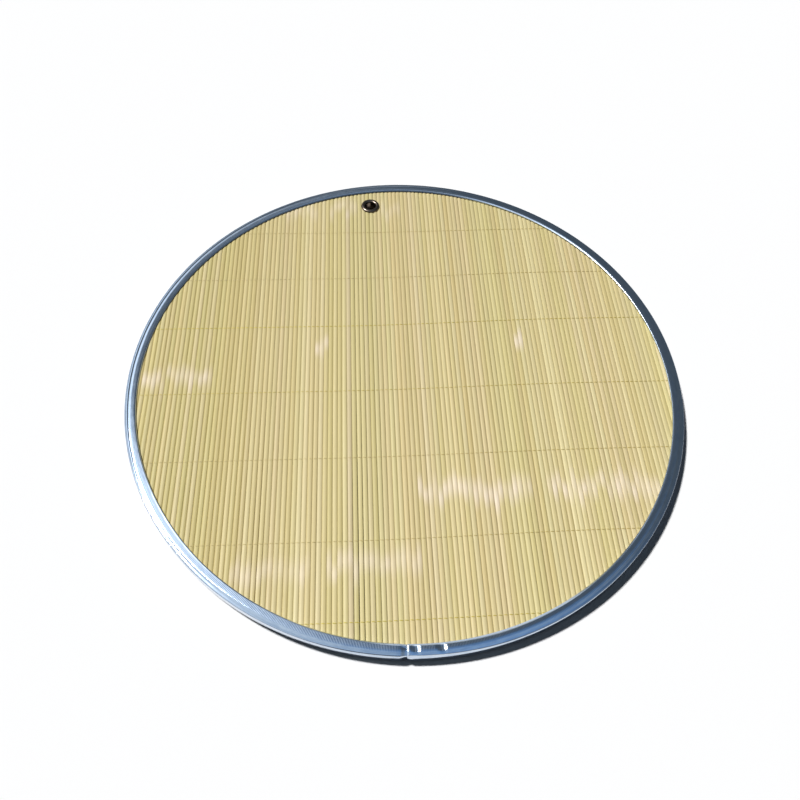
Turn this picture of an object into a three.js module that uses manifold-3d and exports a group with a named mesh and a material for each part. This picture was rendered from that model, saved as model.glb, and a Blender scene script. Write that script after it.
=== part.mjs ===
// Round bamboo dumpling mat. Two crossed layers of thin round sticks, each bound by rows of thread,
// are held at the edge in one lapped strip of bent sheet metal, and an eyelet near the far edge hangs it up.
// Millimetres, +Z up. The origin is on the table under the centre of the disc, the upper sticks run along Y,
// and the lap of the rim is at the near edge, at -Y.

import * as THREE from "three";
import { mergeVertices } from "three/addons/utils/BufferGeometryUtils.js";
import Module from "manifold-3d";

// Rim strip: a channel of sheet metal with a bead along each flange
const RIM_DIAMETER = 360;
const RIM_SHEET = 0.5;
const RIM_FLANGE = 7.3; // from the wall's outer face to the lip, in plan
const WALL_ROUND = 1.6; // height of the rounding between the wall and the flange
const SHOULDER_INSET = 0.9;
const SHOULDER_DROP = 0.3; // drops are taken from the crest of the bead
const VALLEY_INSET = 1.9;
const VALLEY_DROP = 0.5;
const BEAD_INSET = 2.7;
const BEAD_FLAT = 1.3;
const LIP_DROP = 0.6;
const RIM_STEP = 6; // degrees between the sections of the strip

// Lap of the strip's ends: lengths along the rim
const LAP_CUT = -8.4; // from the nearest point of the rim to the cut edge of the outer end
const LAP_LENGTH = 23.4; // of the tucked end, from the cut edge
const LAP_GAP = 0.3; // between the two layers of sheet
const LAP_JOGGLE = 12; // over which the tucked end steps in
const LAP_BUTT = 0.3; // gap between the cut edge and the flange that is tucked
const LAP_NOTCH = 0.15; // over which the tucked flange is cut back to its bead
const LIP_TUCK = 0.3; // how far the lip sinks where the end steps in
const TONGUE_LIP = 0.3; // what is left of the tucked flange beyond its bead
const DENT_FIRST = 4.8; // from the cut edge to the first pressed dent
const DENT_SPACING = 14.5;
const DENT_COUNT = 2;
const DENT_WIDTH = 2.2;
const DENT_DEPTH = 0.25;

// Sticks
const STICK_DIAMETER = 2.8;
const STICK_GAP = 0.2;
const LEFT_COUNT = 8; // bundles on each side of the one that the eyelet goes through
const RIGHT_COUNT = 11;
const NEAR_COUNT = 18;
const FAR_COUNT = 1;
const STICK_FLAT = 1.16; // width of the flat top and bottom of the faceted stick
const WEB_HEIGHT = 1.0; // of the line along which the sticks of a bundle are joined

// Threads: each is one flat loop round its layer
const THREAD_THICKNESS = 0.25;
const THREAD_WIDTH = 0.6;
const THREAD_SLACK = 0.05; // between a thread and the sticks, and between crossing threads
const THREAD_CORNER = 0.2;
const FAR_ROWS = [47.9, 93, 136]; // upper rows, from the far edge of the mat
const NEAR_ROWS = [166.4, 117.7, 64.1, 17.9]; // upper rows, from its near edge
const LOWER_ROW_SPACING = 48;
const LOWER_ROW_TO_EYELET = 9; // from the eyelet's axis to the row beside it
const ROW_TO_EDGE = 12; // no row lies closer to the edge of the mat than this

// Eyelet
const EYELET_FROM_LIP = 14.4; // from the rim's lip to the eyelet's axis
const EYELET_ANGLE = 7.26; // degrees from +Y towards -X
const EYELET_BORE = 8;
const EYELET_WALL = 0.4;
const EYELET_FLANGE = 13.8;
const EYELET_DOME = 1.0; // height of the rolled flange
const EYELET_FLARE = 1.2; // how far the barrel is flared at the back
const WASHER_DIAMETER = 13.8;
const WASHER_THICKNESS = 0.4;
const EYELET_SIDES = 24;

// Clearances
const EDGE_CLEARANCE = 0.3; // between the stick ends, the threads and the rim's wall
const LIP_CLEARANCE = 0.3; // between the rim's lip and the threads
const EYELET_CLEARANCE = 0.3; // round the barrel, under its flange and above its washer

// Finishes
const BAMBOO = { color: 0xd9c892, roughness: 0.55, metalness: 0 };
const BAMBOO_BACK = { color: 0xd2bf88, roughness: 0.6, metalness: 0 };
const THREAD = { color: 0xc9ae5a, roughness: 0.8, metalness: 0 };
const RIM_METAL = { color: 0x8794a6, roughness: 0.3, metalness: 1 };
const EYELET_METAL = { color: 0x9c9698, roughness: 0.18, metalness: 1 };

// Sizes that follow from these
const rimRadius = RIM_DIAMETER / 2;
const stickPitch = STICK_DIAMETER + STICK_GAP;
const threadSpace = THREAD_THICKNESS + THREAD_SLACK;
const lapStep = RIM_SHEET + LAP_GAP;
const facetSag = rimRadius * (1 - Math.cos(THREE.MathUtils.degToRad(RIM_STEP / 2)));
const tongueRadius = rimRadius - lapStep - RIM_SHEET - facetSag;
const threadRadius = tongueRadius - EDGE_CLEARANCE;
const matRadius = threadRadius - THREAD_THICKNESS - EDGE_CLEARANCE;
const lipRadius = rimRadius - RIM_FLANGE;

const underLip = LIP_DROP + RIM_SHEET + LIP_CLEARANCE;
const lowerAxis = underLip + threadSpace + STICK_DIAMETER / 2;
const upperAxis = lowerAxis + STICK_DIAMETER + 2 * threadSpace + THREAD_SLACK;
const rimHeight = lowerAxis + upperAxis;
const lowerFace = lowerAxis - STICK_DIAMETER / 2;
const upperFace = upperAxis + STICK_DIAMETER / 2;

const eyeletTurn = THREE.MathUtils.degToRad(EYELET_ANGLE);
const eyeletRadius = lipRadius - EYELET_FROM_LIP;
const eyeletX = -eyeletRadius * Math.sin(eyeletTurn);
const eyeletY = eyeletRadius * Math.cos(eyeletTurn);
const barrelRadius = EYELET_BORE / 2 + EYELET_WALL;
const eyeletHoleRadius = barrelRadius + EYELET_CLEARANCE;

const wasm = await Module();
wasm.setup();

const mat = new THREE.Group();

function addPiece(name, geometry, finish) {
  const piece = new THREE.Mesh(geometry, new THREE.MeshStandardMaterial(finish));
  piece.name = name;
  mat.add(piece);
}

// Booleans on closed geometries
function toSolid(geometry) {
  const bare = geometry.clone();
  bare.deleteAttribute("normal");
  bare.deleteAttribute("uv");
  const merged = mergeVertices(bare);
  return new wasm.Manifold(new wasm.Mesh({
    numProp: 3,
    vertProperties: Float32Array.from(merged.attributes.position.array),
    triVerts: Uint32Array.from(merged.index.array),
  }));
}

function cut(geometry, tool) {
  const mesh = toSolid(geometry).subtract(toSolid(tool)).getMesh();
  const result = new THREE.BufferGeometry();
  result.setAttribute("position", new THREE.BufferAttribute(Float32Array.from(mesh.vertProperties), 3));
  result.setIndex(new THREE.BufferAttribute(Uint32Array.from(mesh.triVerts), 1));
  return result;
}

// Skins closed sections, given as arrays of points with equal counts, into one solid. The end triangles are
// indices into a section, seen from before the first one.
function loft(sections, endTriangles) {
  const count = sections[0].length;
  const index = [];
  for (let s = 0; s + 1 < sections.length; s++) {
    for (let i = 0; i < count; i++) {
      const a = s * count + i;
      const b = s * count + ((i + 1) % count);
      index.push(a, b, b + count, a, b + count, a + count);
    }
  }
  const last = (sections.length - 1) * count;
  for (const [a, b, c] of endTriangles) {
    index.push(a, b, c, last + a, last + c, last + b);
  }
  const geometry = new THREE.BufferGeometry();
  geometry.setFromPoints(sections.flat());
  geometry.setIndex(index);
  return geometry;
}

// Rim strip

// Half of the rim's outer line from the wall to the lip: inset from the wall's face, drop from the crest
const valley = new THREE.Vector2(VALLEY_INSET, VALLEY_DROP);
const beadStart = new THREE.Vector2(BEAD_INSET, 0);
const beadEnd = new THREE.Vector2(BEAD_INSET + BEAD_FLAT, 0);
const rimLine = [
  new THREE.Vector2(0, WALL_ROUND),
  new THREE.Vector2(SHOULDER_INSET, SHOULDER_DROP),
  valley,
  beadStart,
  beadEnd,
  new THREE.Vector2(RIM_FLANGE, LIP_DROP),
];
const lipPoint = rimLine.length - 1;
const dented = [valley, beadStart, beadEnd];
const tongueEnd = new THREE.Vector2(BEAD_INSET + BEAD_FLAT + TONGUE_LIP, 0);

// Unit normals of the line's segments, pointing into the channel; the wall comes first and the lip repeats
function lineNormals(line) {
  const normals = [new THREE.Vector2(1, 0)];
  for (let i = 0; i + 1 < line.length; i++) {
    const along = line[i + 1].clone().sub(line[i]).normalize();
    normals.push(new THREE.Vector2(-along.y, along.x));
  }
  normals.push(normals[normals.length - 1]);
  return normals;
}

// Moves each point of the line into the channel by its own distance, with mitred corners
function offsetLine(line, distances) {
  const normals = lineNormals(line);
  return line.map((point, i) => {
    const before = normals[i];
    const after = normals[i + 1];
    const mitre = before.clone().add(after).divideScalar(1 + before.dot(after));
    return point.clone().addScaledVector(mitre, distances[i]);
  });
}

// One flange of a section: its outer and inner lines, stepped in by tuck and pressed in by dent
function rimFlange({ tuck, tongue, dent }) {
  const line = rimLine.slice();
  if (tongue) line[lipPoint] = tongueEnd;
  const stepIn = line.map((_, i) => tuck * (i === lipPoint && !tongue ? LIP_TUCK : lapStep));
  const outer = offsetLine(line, stepIn);
  const inner = offsetLine(line, stepIn.map((distance) => distance + RIM_SHEET));
  for (const point of dented) outer[rimLine.indexOf(point)].y += dent;
  return { outer, inner };
}

// The whole section as radius and height, from the upper lip round the outside to the lower lip and back
function rimSection(state) {
  const upper = rimFlange(state);
  const lower = rimFlange({ ...state, dent: 0 });
  const above = (p) => new THREE.Vector2(rimRadius - p.x, rimHeight - p.y);
  const below = (p) => new THREE.Vector2(rimRadius - p.x, p.y);
  return [
    ...upper.outer.map(above).reverse(),
    ...lower.outer.map(below),
    ...lower.inner.map(below).reverse(),
    ...upper.inner.map(above),
  ];
}

function rimStrip() {
  const turn = (length) => length / rimRadius;
  const nearest = -Math.PI / 2;
  const cutEdge = nearest + turn(LAP_CUT);
  const lapEnd = cutEdge + turn(LAP_LENGTH);
  const dents = [];
  for (let i = 0; i < DENT_COUNT; i++) dents.push(cutEdge + turn(DENT_FIRST + i * DENT_SPACING));
  const dentSides = dents.flatMap((dent) => [dent - turn(DENT_WIDTH / 2), dent + turn(DENT_WIDTH / 2)]);
  const flangeEnd = cutEdge - turn(LAP_BUTT);
  const joggleStart = flangeEnd - turn(LAP_JOGGLE);

  // Both layers of the lap have sections at the same angles, so that their facets lie parallel
  const lapAngles = [cutEdge, nearest, ...dents, ...dentSides, lapEnd].sort((a, b) => a - b);
  const step = THREE.MathUtils.degToRad(RIM_STEP);
  const fullTurn = 2 * Math.PI;
  const stations = lapAngles.map((angle) => ({ angle, tuck: 0, tongue: false, dent: 0 }));
  for (const station of stations) {
    if (dents.includes(station.angle)) station.dent = DENT_DEPTH;
  }
  for (let i = Math.ceil(lapEnd / step); i * step < joggleStart + fullTurn; i++) {
    const angle = i * step;
    if (angle > lapEnd) stations.push({ angle, tuck: 0, tongue: false, dent: 0 });
  }
  stations.push({ angle: joggleStart + fullTurn, tuck: 0, tongue: false, dent: 0 });
  stations.push({ angle: flangeEnd + fullTurn, tuck: 1, tongue: false, dent: 0 });
  stations.push({ angle: flangeEnd + turn(LAP_NOTCH) + fullTurn, tuck: 1, tongue: true, dent: 0 });
  for (const angle of lapAngles) {
    stations.push({ angle: angle + fullTurn, tuck: 1, tongue: true, dent: 0 });
  }

  const sections = stations.map((station) => rimSection(station).map(
    (p) => new THREE.Vector3(p.x * Math.cos(station.angle), p.x * Math.sin(station.angle), p.y),
  ));
  return loft(sections, THREE.ShapeUtils.triangulateShape(rimSection(stations[0]), []));
}

addPiece("rim_strip", rimStrip(), RIM_METAL);

// Sticks

const sticksEachSide = Math.floor(matRadius / stickPitch);
const stickCount = 2 * sticksEachSide;
const stickPlace = (i) => (i + 0.5 - sticksEachSide) * stickPitch;

// Half the length of the mat at a distance from its centre line
const halfLength = (across) => Math.sqrt(matRadius ** 2 - across ** 2);

// Shares the sticks between two places out evenly, as the first stick of each bundle
function shareOut(from, to, bundles) {
  const firsts = [];
  for (let i = 0; i < bundles; i++) firsts.push(from + Math.round(((to - from) * i) / bundles));
  return firsts;
}

// Sorts the sticks of a layer into bundles: one round the eyelet, with a whole stick on each side of its
// hole, and a set number before and after that one
const sticksRoundEyelet = Math.ceil((2 * eyeletHoleRadius) / stickPitch) + 2;

function bundleRanges(eyeletAcross, before, after) {
  const first = Math.round(eyeletAcross / stickPitch - sticksRoundEyelet / 2) + sticksEachSide;
  const next = Math.min(first + sticksRoundEyelet, stickCount);
  const firsts = [...shareOut(0, first, before), first, ...shareOut(next, stickCount, after), stickCount];
  return firsts.slice(1).map((to, i) => [firsts[i], to]);
}

// The scalloped upper outline of neighbouring sticks: across the layer in x, height from their axes in y
const POINTS_PER_STICK = 3;

function bundleOutline(from, to) {
  const outline = [];
  for (let i = from; i < to; i++) {
    const centre = stickPlace(i);
    const edge = i === from ? STICK_DIAMETER / 2 : stickPitch / 2;
    outline.push(new THREE.Vector2(centre - edge, WEB_HEIGHT / 2));
    outline.push(new THREE.Vector2(centre - STICK_FLAT / 2, STICK_DIAMETER / 2));
    outline.push(new THREE.Vector2(centre + STICK_FLAT / 2, STICK_DIAMETER / 2));
  }
  outline.push(new THREE.Vector2(stickPlace(to - 1) + STICK_DIAMETER / 2, WEB_HEIGHT / 2));
  return outline;
}

// Layers are drawn with their sticks along Y, and the lower one is then turned about Z
function layDown(geometry, axisHeight, turned) {
  geometry.translate(0, 0, axisHeight);
  if (turned) geometry.rotateZ(Math.PI / 2);
  return geometry;
}

// A bundle whose ends are trimmed to the round outline of the mat, each stick with its own end faces
function bundle(from, to, axisHeight, turned) {
  const outline = bundleOutline(from, to);
  const ring = [...outline, ...outline.map((p) => new THREE.Vector2(p.x, -p.y)).reverse()];
  const ends = [-1, 1].map((side) => ring.map(
    (p) => new THREE.Vector3(p.x, side * halfLength(p.x), p.y),
  ));
  const triangles = [];
  for (let first = 0; first + 1 < outline.length; first += POINTS_PER_STICK) {
    const face = [];
    for (let i = 0; i <= POINTS_PER_STICK; i++) face.push(ring.length - 1 - first - i);
    for (let i = POINTS_PER_STICK; i >= 0; i--) face.push(first + i);
    for (let i = 1; i + 1 < face.length; i++) triangles.push([face[0], face[i], face[i + 1]]);
  }
  return layDown(loft(ends, triangles), axisHeight, turned);
}

function eyeletHole() {
  const tool = new THREE.CylinderGeometry(eyeletHoleRadius, eyeletHoleRadius, 2 * rimHeight, EYELET_SIDES);
  tool.rotateX(Math.PI / 2);
  tool.translate(eyeletX, eyeletY, 0);
  return tool;
}

function stickLayer({ label, axisHeight, turned, eyeletAcross, before, after, finish }) {
  bundleRanges(eyeletAcross, before, after).forEach(([from, to], i) => {
    if (from === to) return;
    const name = `${label}_sticks_${String(i + 1).padStart(2, "0")}`;
    const left = stickPlace(from) - stickPitch / 2;
    const right = stickPlace(to - 1) + stickPitch / 2;
    const pierced = left < eyeletAcross + eyeletHoleRadius && right > eyeletAcross - eyeletHoleRadius;
    const whole = bundle(from, to, axisHeight, turned);
    addPiece(name, pierced ? cut(whole, eyeletHole()) : whole, finish);
  });
}

stickLayer({
  label: "upper",
  axisHeight: upperAxis,
  turned: false,
  eyeletAcross: eyeletX,
  before: LEFT_COUNT,
  after: RIGHT_COUNT,
  finish: BAMBOO,
});
stickLayer({
  label: "lower",
  axisHeight: lowerAxis,
  turned: true,
  eyeletAcross: eyeletY,
  before: NEAR_COUNT,
  after: FAR_COUNT,
  finish: BAMBOO_BACK,
});

// Threads

// A flat ring with rounded outer corners, seen along the sticks
function threadShape(halfSpan) {
  const inner = STICK_DIAMETER / 2 + THREAD_SLACK;
  const outer = inner + THREAD_THICKNESS;
  const reach = halfSpan + THREAD_THICKNESS;
  const shape = new THREE.Shape();
  shape.moveTo(-reach + THREAD_CORNER, -outer);
  shape.lineTo(reach - THREAD_CORNER, -outer);
  shape.lineTo(reach, -outer + THREAD_CORNER);
  shape.lineTo(reach, outer - THREAD_CORNER);
  shape.lineTo(reach - THREAD_CORNER, outer);
  shape.lineTo(-reach + THREAD_CORNER, outer);
  shape.lineTo(-reach, outer - THREAD_CORNER);
  shape.lineTo(-reach, -outer + THREAD_CORNER);
  shape.closePath();
  const opening = new THREE.Path();
  opening.moveTo(-halfSpan, -inner);
  opening.lineTo(-halfSpan, inner);
  opening.lineTo(halfSpan, inner);
  opening.lineTo(halfSpan, -inner);
  opening.closePath();
  shape.holes.push(opening);
  return shape;
}

// The row is a distance along the sticks; the loop's ends lie just outside the round outline of the mat
function thread(row, axisHeight, turned) {
  const halfSpan = halfLength(Math.abs(row) - THREAD_WIDTH / 2) + EDGE_CLEARANCE / 2;
  const extrusion = { depth: THREAD_WIDTH, bevelEnabled: false };
  const geometry = new THREE.ExtrudeGeometry(threadShape(halfSpan), extrusion);
  geometry.rotateX(Math.PI / 2);
  geometry.translate(0, row + THREAD_WIDTH / 2, 0);
  return layDown(geometry, axisHeight, turned);
}

const insideMat = (row) => Math.abs(row) < matRadius - ROW_TO_EDGE;

function lowerRows() {
  const besideEyelet = eyeletX - LOWER_ROW_TO_EYELET;
  const reach = Math.ceil(2 * matRadius / LOWER_ROW_SPACING);
  const rows = [];
  for (let i = reach; i >= -reach; i--) rows.push(besideEyelet + i * LOWER_ROW_SPACING);
  return rows.filter(insideMat);
}

function upperRows() {
  const far = FAR_ROWS.map((inset) => matRadius - inset);
  const near = NEAR_ROWS.map((inset) => inset - matRadius);
  return [...far, ...near].filter(insideMat);
}

upperRows().forEach((row, i) => {
  addPiece(`upper_thread_${i + 1}`, thread(row, upperAxis, false), THREAD);
});
lowerRows().forEach((row, i) => {
  addPiece(`lower_thread_${i + 1}`, thread(-row, lowerAxis, true), THREAD);
});

// Eyelet

const washerTop = lowerFace - EYELET_CLEARANCE;
const flareTop = washerTop - WASHER_THICKNESS - EYELET_CLEARANCE;
const flangeEdge = upperFace + EYELET_CLEARANCE;

function turnedRing(points) {
  const geometry = new THREE.LatheGeometry([...points, points[0]], EYELET_SIDES);
  geometry.rotateX(Math.PI / 2);
  geometry.translate(eyeletX, eyeletY, 0);
  return geometry;
}

function eyeletBarrel() {
  const bore = EYELET_BORE / 2;
  const flange = EYELET_FLANGE / 2;
  const crest = flangeEdge + EYELET_DOME;
  const crestRadius = (barrelRadius + flange) / 2;
  return turnedRing([
    new THREE.Vector2(bore, flareTop + EYELET_WALL),
    new THREE.Vector2(bore + EYELET_WALL, flareTop - EYELET_WALL),
    new THREE.Vector2(barrelRadius + EYELET_FLARE, flareTop - EYELET_WALL),
    new THREE.Vector2(barrelRadius + EYELET_FLARE, flareTop),
    new THREE.Vector2(barrelRadius, flareTop),
    new THREE.Vector2(barrelRadius, flangeEdge),
    new THREE.Vector2(crestRadius, crest - EYELET_WALL),
    new THREE.Vector2(flange - EYELET_WALL, flangeEdge),
    new THREE.Vector2(flange, flangeEdge),
    new THREE.Vector2(flange, flangeEdge + EYELET_WALL),
    new THREE.Vector2((crestRadius + flange) / 2, crest - EYELET_WALL / 2),
    new THREE.Vector2(crestRadius, crest),
    new THREE.Vector2(barrelRadius, crest - EYELET_WALL),
    new THREE.Vector2(bore, flangeEdge),
  ]);
}

function eyeletWasher() {
  const hole = barrelRadius + EYELET_CLEARANCE;
  const edge = WASHER_DIAMETER / 2;
  return turnedRing([
    new THREE.Vector2(hole, washerTop - WASHER_THICKNESS),
    new THREE.Vector2(edge, washerTop - WASHER_THICKNESS),
    new THREE.Vector2(edge, washerTop),
    new THREE.Vector2(hole, washerTop),
  ]);
}

addPiece("eyelet_barrel", eyeletBarrel(), EYELET_METAL);
addPiece("eyelet_washer", eyeletWasher(), EYELET_METAL);

export default mat;
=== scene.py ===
import math
import random

import bpy
import numpy as np
from mathutils import Matrix, Vector


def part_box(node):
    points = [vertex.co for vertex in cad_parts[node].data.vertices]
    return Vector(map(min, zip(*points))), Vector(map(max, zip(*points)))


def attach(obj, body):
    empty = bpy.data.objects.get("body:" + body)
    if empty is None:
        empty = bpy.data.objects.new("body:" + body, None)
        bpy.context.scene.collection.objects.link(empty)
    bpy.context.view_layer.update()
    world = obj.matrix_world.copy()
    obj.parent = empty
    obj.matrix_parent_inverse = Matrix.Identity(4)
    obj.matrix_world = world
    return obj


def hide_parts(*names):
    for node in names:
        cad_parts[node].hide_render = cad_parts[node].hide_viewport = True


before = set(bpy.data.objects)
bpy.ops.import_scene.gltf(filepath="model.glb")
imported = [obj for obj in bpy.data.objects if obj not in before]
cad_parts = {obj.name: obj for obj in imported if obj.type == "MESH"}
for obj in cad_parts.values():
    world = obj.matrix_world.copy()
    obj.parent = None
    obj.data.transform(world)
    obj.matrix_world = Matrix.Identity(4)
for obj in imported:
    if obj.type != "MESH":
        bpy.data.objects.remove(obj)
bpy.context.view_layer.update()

# A round bamboo dumpling mat: two crossed layers of thin bamboo sticks, bound with twined thread and held in
# a lapped strip of sheet metal, with a hanging eyelet near the far edge. Sizes are in millimetres, and the
# frame is that of the solids: +Z up, the origin on the table under the centre, the upper sticks along Y.

MM = 0.001

# Rim strip
RIM_RADIUS = 180.0
RIM_HEIGHT = 9.65
SHEET = 0.5
# Degrees between sections of the strip
RIM_STEP = 1.25
# Half of its outer line from the wall to the lip, as inset from the wall and drop from the crest. The
# shoulder is a chamfer, with a shallow groove or a slope beside it. The lip is rolled down on to the sticks,
# and flat, soft or broad where it was pressed by hand.
SHOULDER_INSET = 0.06
SHOULDER_SIZE = (0.64, 0.92)
SHOULDER_BEND = 0.4
GROOVE = ((0.7, 0.18), (1.1, 0.2), (1.8, 0.32))
SLOPE = ((0.7, 0.55), (1.1, 0.45), (1.8, 0.28))
CREST = ((2.8, 0.03), (3.6, 0.0), (4.2, 0.0), (5.4, 0.15))
CREST_END = 4.2
LIP = ((6.55, 0.29), (6.75, 0.5), (7.1, 1.0), (7.25, 1.25))
FLAT_LIP = ((6.3, 0.26), (6.65, 0.3), (7.2, 0.37), (7.25, 1.25))
SOFT_LIP = ((5.9, 0.22), (6.55, 0.4), (7.2, 0.64), (7.25, 1.25))
BROAD_LIP = ((5.6, 0.18), (6.15, 0.46), (6.7, 0.76), (7.25, 1.25))
LIP_START, LIP_DROP = LIP[0]
# Where the strip departs from its usual line: start, end and ease in degrees round the rim, with the change.
# PRESSED changes the slope of the flange, SHOULDERS the size of the chamfer, and LIPS the form of the lip.
PRESSED = ((95.0, 215.0, 60.0, 0.45), (177.0, 285.0, 45.0, -0.95))
SHOULDERS = ((270.0, 70.0, 80.0, -0.75), (218.0, 263.0, 16.0, -0.6), (288.0, 335.0, 20.0, -0.25))
SLOPED = (192.0, 332.0, 70.0)
LIPS = (
    (162.0, 262.0, 50.0, FLAT_LIP), (300.0, 80.0, 30.0, FLAT_LIP),
    (8.0, 78.0, 34.0, SOFT_LIP), (257.0, 309.0, 26.0, BROAD_LIP),
)
# The shoulder of the outer end is hammered rounder, less and less away from the cut edge
FLARE = 0.5
FLARE_LENGTH = 70.0

# Lap of the strip. Its cut edge is placed from the middle of the near edge, and places along the strip are
# measured from there. The inner end steps in under the outer one.
CUT_EDGE = -8.4
LAP_LENGTH = 23.4
LAP_REST = 1.0
LAP_STEP = 0.8
LAP_JOGGLE = 4.0
LAP_BUTT = 0.3
LAP_SAMPLE = 0.3
JOGGLE_SAMPLE = 0.6
LIP_TUCK = 0.3
# The cut edge is turned down a little
CUT_TURN = 0.9
CUT_TUCK = 0.31
# The tucked end is a tongue, narrower than the flange: its last points, evenly spaced
TONGUE_SPAN = (3.74, 4.3)
TONGUE_POINTS = 6
# Two pressed dents: their places, half lengths before and behind, flat share and depth, and how much of it
# each point of the flange's line takes
DENTS = (4.8, 19.3)
DENT_HALVES = (3.8, 2.7)
DENT_FLOOR = 0.25
DENT_DEPTH = 0.46
DENT_SHARES = (0.0, 0.0, 0.0, 0.0, 0.2, 0.6, 0.9, 1.0, 1.0, 0.9, 0.6, 0.3, 0.2)

# Finish of the rim: forming marks on a band of the flange, by inset from the wall, slow ripples and scratches
KNURL_PITCH = 0.85
KNURL_DEPTH = 0.016
KNURL_BAND = (2.6, 5.9)
RIPPLE_DEPTH = 0.07
SCRATCH_SHARE = 0.1
# The lip is rubbed dull, over a band of its inset, and more so beside the lap: start, end and ease in degrees
# round the rim, with how many times more
DULL_BAND = (5.6, 6.7)
DULL_ROUGHNESS = 0.15
WORN = (258.0, 306.0, 10.0, 3.5)

# Sticks
STICK_PITCH = 3.0
STICK_COUNT = 118
STICK_HALF_WIDTH = 1.485
STICK_HALF_HEIGHT = 1.4
MAT_RADIUS = 177.6
UPPER_AXIS = 6.55
LOWER_AXIS = 3.1
# The upper half of a stick's section: a shallow crown with rounded edges, by shares of the half width
CROWN_RADIUS = 3.0
CROWN_SHARES = (0.99, 0.86, 0.52, 0.17, -0.17, -0.52, -0.86, -0.99)
EDGE_DROP = 0.12
# How sticks differ in size: shares of the width and height, a few narrow ones, and the cut of their ends
WIDTH_SPREAD = (0.98, 1.0)
HEIGHT_SPREAD = (0.97, 1.0)
NARROW_SHARE = 0.08
NARROW_WIDTH = 0.95
END_TRIM = 0.5
# Some sticks grow narrower towards one end, by up to this share, over this stretch of their length. A higher
# power leaves fewer of them.
STICK_TAPER = 0.1
TAPER_SPAN = (20.0, -150.0)
TAPER_POWER = 3
# All sticks drift from side to side together, and each sways a little by itself
DRIFT = 0.05
DRIFT_ALONG = 75.0
DRIFT_ACROSS = 60.0
SWAY = 0.03
SWAY_ALONG = 40.0
# How sticks differ in colour. The hue also changes slowly across the mat, by waves of size, length and phase.
TONE_SPREAD = 0.034
TINT_MEAN = 0.45
TINT_SPREAD = 0.25
HUE_MEAN = 0.5
HUE_SPREAD = 0.22
HUE_WAVES = ((0.22, 17.0, 0.6), (0.16, 7.3, 2.1))
# The sticks on the left are deeper in colour, more and more over this stretch
LEFT_TINT = 0.3
LEFT_SPAN = (-70.0, -130.0)
# Painted shade: every stick is a little paler at its near end and darker at its far end
END_SHADE_TONES = (1.035, 0.965)
END_SHADE_PLACES = (-160.0, 160.0)

# Whitish bamboo joints: from and to across the mat, the place along the sticks, and how much they show
UPPER_JOINTS = (
    (-171, -127, 2, 0.60), (-59, -52, 22, 0.75), (74, 81, 27, 0.80), (4, 71, -84, 0.72),
    (81, 150, -84, 0.62), (-104, -60, -130, 0.42), (-52, 4, -128, 0.46), (-84, -60, 151, 0.40),
    (-50, -30, 154, 0.42), (-13, 2, 155, 0.45),
)
LOWER_JOINTS = (
    (-160, -96, -60, 0.60), (-90, -30, 92, 0.60), (-24, 20, -118, 0.60), (26, 96, 40, 0.60),
    (102, 168, -30, 0.60),
)
JOINT_JITTER = 3.2
JOINT_HALF = 8.5
JOINT_REACH = 1.3
JOINT_HALF_SPREAD = (0.75, 1.35)
JOINT_POWER_SPREAD = (0.45, 1.25)
JOINT_SWELL = 0.02
JOINT_RIDGE = 1.6

# Rings along a stick: the usual and the least step, and more of them beside the eyelet, over a joint by
# shares of its half length, and at its ridge
STICK_STEP = 9.0
LEAST_STEP = 0.2
EYELET_RINGS = tuple(0.5 * k for k in range(-10, 11))
JOINT_RINGS = tuple(0.25 * k for k in range(-5, 6))
RIDGE_RINGS = (-1.5, -0.7, 0.7, 1.5)

# Threads. Place of each row along the sticks, how far it rises towards the right, and how yellow its thread
# is. The rows below are straight.
UPPER_ROWS = (
    (129.2, 2.2, 0.1), (84.1, 3.6, 0.0), (41.1, 3.5, 1.0), (-11.7, 2.6, 0.6), (-60.4, 2.1, 0.1),
    (-114.0, 2.4, 0.1), (-160.2, 2.0, 1.0),
)
LOWER_ROWS = tuple((-place, 0.0, 0.4) for place in (163.0, 115.0, 67.0, 19.0, -29.0, -77.0, -125.0))
ROW_BEND = (-40.0, 120.0)
ROW_MARGIN = 1.0
# The thread is paler towards the left over this stretch, a painted sheen
SHEEN_SPAN = (90.0, -110.0)
# Each row is a pair of flattened strands that swing past each other between the sticks. STRAND_LIFT is a
# power: the lower it is, the steeper a strand rises.
STRAND_RADIUS = 0.14
STRAND_WIDTH = 1.35
STRAND_GAP = 0.01
STRAND_SWING = 0.14
STRAND_LIFT = 0.45
STRAND_FACE = 0.2
STRAND_SIDES = 6
STRAND_STEPS = 8

# Eyelet: a rolled flange, and the line of the barrel down to its flared end and back up, as radius and height
EYELET_X = -20.005
EYELET_Y = 157.031
HOLE_RADIUS = 4.55
EYELET_SIDES = 96
EYELET_SHEET = 0.4
BORE_RADIUS = 4.0
FLANGE_RADIUS = 6.9
FLANGE_CREST = 9.25
FLANGE_FOOT = 8.25
FLANGE_BULGE = 0.75
FLANGE_STEPS = 16
UNDER_STEPS = 8
BARREL_LINE = (
    (4.0, 7.6), (4.0, 1.6), (4.05, 1.1), (4.4, 0.45), (5.6, 0.3),
    (5.6, 0.7), (4.8, 0.75), (4.4, 1.5), (4.4, 7.9),
)
WASHER_LINE = ((4.7, 1.0), (4.7, 1.4), (6.9, 1.4), (6.9, 1.0))

# Camera, in pixels of the photograph and as angles. The centre of the rim's lip, at LIP_TOP, is at CENTRE_PX.
PHOTO_SIZE = 800
FOCAL_PX = 729.68
CENTRE_PX = (406.379, 373.64)
LIP_TOP = 9.05
ELEVATION = 57.7033
AZIMUTH = -5.2115
ROLL = 3.1461
DISTANCE = 478.1
SENSOR_WIDTH = 36.0
NEAREST = 10.0

# Light
KEY_DIRECTION = (-0.41, 0.287, 0.866)
KEY_STRENGTH = 3.6
KEY_ANGLE = 6.0
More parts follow.
